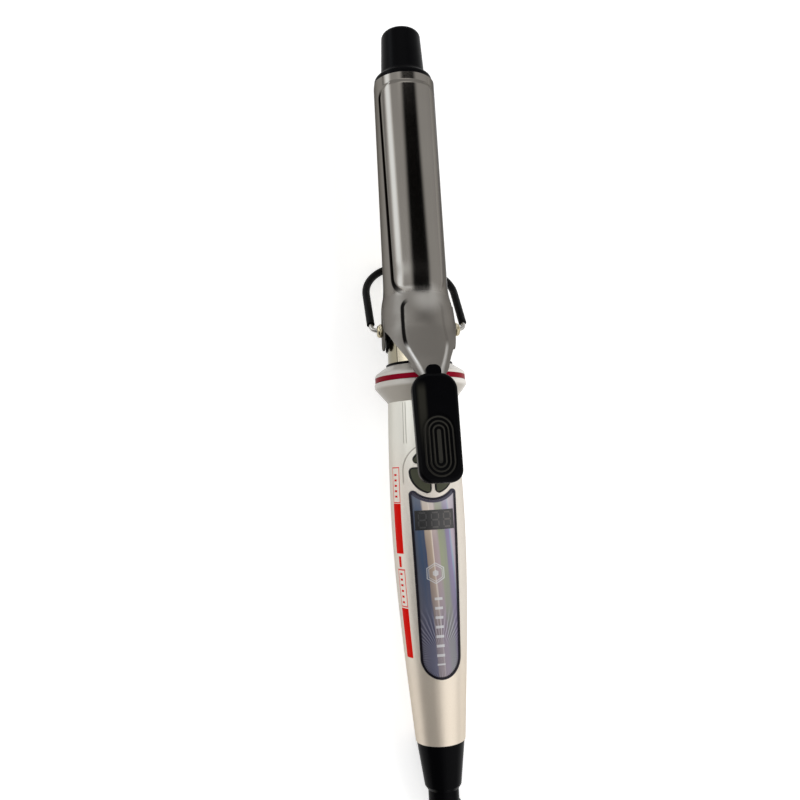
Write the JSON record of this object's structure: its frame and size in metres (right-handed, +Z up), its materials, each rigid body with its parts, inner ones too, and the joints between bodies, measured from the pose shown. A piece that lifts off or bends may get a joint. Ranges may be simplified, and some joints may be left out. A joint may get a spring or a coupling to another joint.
{
  "type": "curling iron",
  "caption": "Clip curling iron with a round heated barrel, sprung clamp, flared collar, tapered handle with buttons and display, wire stand and swivel cord",
  "frame": {"origin": "centre of the iron's footprint box, on the table it rests on, cord left out", "axes": "+X towards the cool tip, +Z up, +Y to the left of the front panel; the iron leans back on its stand and handle, so its own axis rises towards +X"},
  "size_m": [0.5873, 0.0591, 0.0538],
  "materials": {
    "barrel": "champagne, glossy",
    "black_plastic": "satin",
    "gunmetal": "fine satin",
    "steel": "plain",
    "rivet": "nickelled",
    "bracket": "black",
    "white_collar": "gloss",
    "crimson": "metallic gloss",
    "pearl": "pearl",
    "bezel": "dark gloss",
    "film": "iridescent",
    "display": "clear gloss",
    "button": "satin",
    "aluminium": "extruded",
    "heater": "ceramic",
    "board": "lacquered",
    "silicone": "matt",
    "fibre": "matt",
    "brass": "plain",
    "rubber_sleeve": "matt",
    "cord": "satin"
  },
  "bodies": {
    "iron": {"barrel_tube": "barrel", "cool_tip": "black_plastic", "heater_shoe_upper": "aluminium", "heater_shoe_lower": "aluminium", "ceramic_heater": "heater", "shoe_springs": "steel", "heater_spacer": "fibre", "thermal_fuse": "steel", "thermistor": "heater", "base_ring": "black_plastic", "collar_cap": "white_collar", "accent_ring": "crimson", "collar_base": "white_collar", "handle_front_shell": "pearl", "handle_back_shell": "pearl", "shell_screws": "steel", "panel_bezel": "bezel", "panel_film": "film", "display_window": "display", "control_board": "board", "lcd_module": "display", "keypad_mat": "silicone", "end_cap": "black_plastic", "contact_block": "fibre", "hinge_bracket": "bracket", "hinge_rivets": "rivet"},
    "clamp": {"clamp_plate": "gunmetal", "thumb_lever": "black_plastic", "lever_rivets": "steel", "clamp_spring": "steel"},
    "stand": {"stand_wire": "steel", "stand_sleeve": "rubber_sleeve"},
    "power": {"power_button": "button"},
    "minus": {"minus_button": "button"},
    "plus": {"plus_button": "button"},
    "swivel": {"swivel_sleeve": "black_plastic", "contact_pin": "brass", "strain_relief": "cord", "cord_lead": "cord", "cord_hank": "cord", "cord_tail": "cord", "cord_tie": "black_plastic", "plug_body": "cord", "plug_pins": "brass"}
  },
  "joints": [
    {"name": "clamp_hinge", "type": "hinge", "parent": "iron", "child": "clamp", "pos_m": [0.02202, 0, 0.02607], "axis": [0, -1, 0], "range_deg": [0, 12], "stiffness_Nm_per_rad": 0.5, "springref_deg": -28.65, "deforming": ["clamp_spring"]},
    {"name": "stand_hinge", "type": "hinge", "parent": "iron", "child": "stand", "pos_m": [0.02202, 0, 0.02607], "axis": [0, 1, 0], "range_deg": [0, 115]},
    {"name": "power_press", "type": "slide", "parent": "iron", "child": "power", "axis": [0.074, 0, -0.9973], "range_m": [0, 0.0006], "stiffness_N_per_m": 1500, "springref_m": -0.0004},
    {"name": "minus_press", "type": "slide", "parent": "iron", "child": "minus", "axis": [0.074, 0, -0.9973], "range_m": [0, 0.0006], "stiffness_N_per_m": 1500, "springref_m": -0.0004},
    {"name": "plus_press", "type": "slide", "parent": "iron", "child": "plus", "axis": [0.074, 0, -0.9973], "range_m": [0, 0.0006], "stiffness_N_per_m": 1500, "springref_m": -0.0004},
    {"name": "cord_swivel", "type": "hinge", "parent": "iron", "child": "swivel", "pos_m": [-0.15327, 0, 0.01006], "axis": [0.9973, 0, 0.074], "continuous": true}
  ]
}
